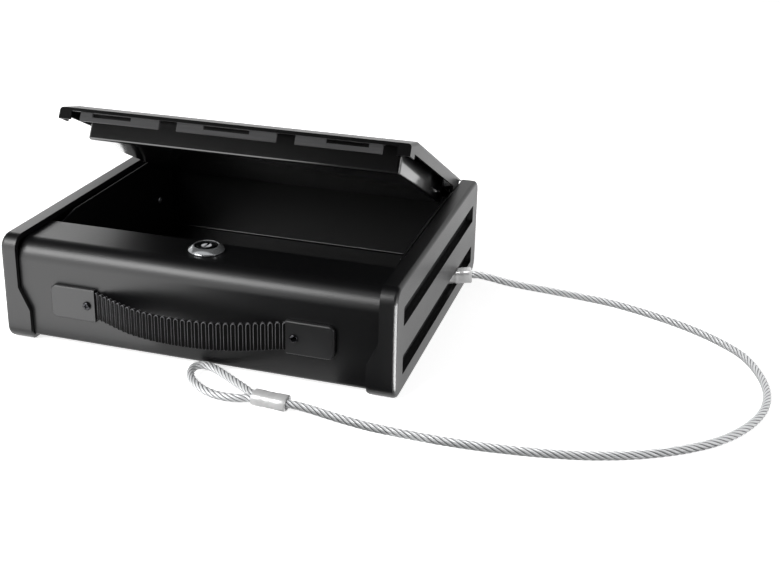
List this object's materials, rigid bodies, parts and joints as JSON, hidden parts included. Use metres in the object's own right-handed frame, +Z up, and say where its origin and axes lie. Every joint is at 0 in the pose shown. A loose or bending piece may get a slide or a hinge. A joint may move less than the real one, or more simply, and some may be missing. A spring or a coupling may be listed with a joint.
{
  "type": "portable car safe",
  "caption": "Low steel box safe with moulded end caps, hinged lid with inner pan, key lock with sliding bar, webbing carrying strap and wire-rope tether with an eye.",
  "frame": {"origin": "bottom centre of the box with the lid standing open as at rest, without the rope nodes, on the surface the feet stand on", "axes": "+X to the right of someone facing the strap, -Y out of the front with the strap, +Z up"},
  "size_m": [0.5147, 0.2771, 0.1529],
  "materials": {
    "painted_steel": "fine satin black powder coat",
    "moulded_plastic": "fine-grained black moulding",
    "latch_steel": "dark grey",
    "lock_metal": "dark bright plating",
    "zinc_steel": "zinc plated",
    "black_screw": "black oxide",
    "webbing": "ribbed black webbing",
    "wire_rope": "bright stranded steel",
    "crimped_metal": "pressed, satin"
  },
  "bodies": {
    "base": {"body_shell": "painted_steel", "end_wall_left": "painted_steel", "end_cap_left": "moulded_plastic", "hinge_pin_left": "zinc_steel", "bar_stud_left": "zinc_steel", "handle_plate_left": "moulded_plastic", "handle_screw_left": "black_screw", "handle_nut_left": "zinc_steel", "cap_screw_left_front": "zinc_steel", "cap_screw_left_middle": "zinc_steel", "cap_screw_left_rear": "zinc_steel", "end_wall_right": "painted_steel", "end_cap_right": "moulded_plastic", "hinge_pin_right": "zinc_steel", "bar_stud_right": "zinc_steel", "handle_plate_right": "moulded_plastic", "handle_screw_right": "black_screw", "handle_nut_right": "zinc_steel", "cap_screw_right_front": "zinc_steel", "cap_screw_right_middle": "zinc_steel", "cap_screw_right_rear": "zinc_steel", "handle_strap": "webbing", "lock_housing": "lock_metal", "lock_nut": "zinc_steel", "cable_post": "zinc_steel", "cable_inner_loop": "wire_rope", "cable_ferrule_cap": "crimped_metal", "tether_cable": "wire_rope", "cable_ferrule_end": "crimped_metal", "cable_eye": "wire_rope"},
    "lid": {"lid_panel": "painted_steel", "lid_pan": "painted_steel", "latch_plate_left": "latch_steel", "latch_plate_middle": "latch_steel", "latch_plate_right": "latch_steel", "hinge_bracket_left": "painted_steel", "hinge_bracket_right": "painted_steel"},
    "lock_core": {"lock_plug": "lock_metal", "lock_cam": "zinc_steel", "cam_screw": "zinc_steel"},
    "lock_bar": {"lock_bar": "zinc_steel"}
  },
  "joints": [
    {"name": "lid_hinge", "type": "hinge", "parent": "base", "child": "lid", "pos_m": [0, 0.11825, 0.0695], "axis": [-1, 0, 0], "range_deg": [-27, 68]},
    {"name": "lock_turn", "type": "hinge", "parent": "base", "child": "lock_core", "pos_m": [-0.002, -0.07625, 0.0776], "axis": [0, 0, 1], "range_deg": [0, 90]},
    {"name": "bar_slide", "type": "slide", "parent": "base", "child": "lock_bar", "axis": [0, 1, 0], "range_m": [0, 0.00707]}
  ],
  "couplings": [
    {"joint": "lock_turn", "follows": "bar_slide", "rad_per_m": 222.17}
  ]
}
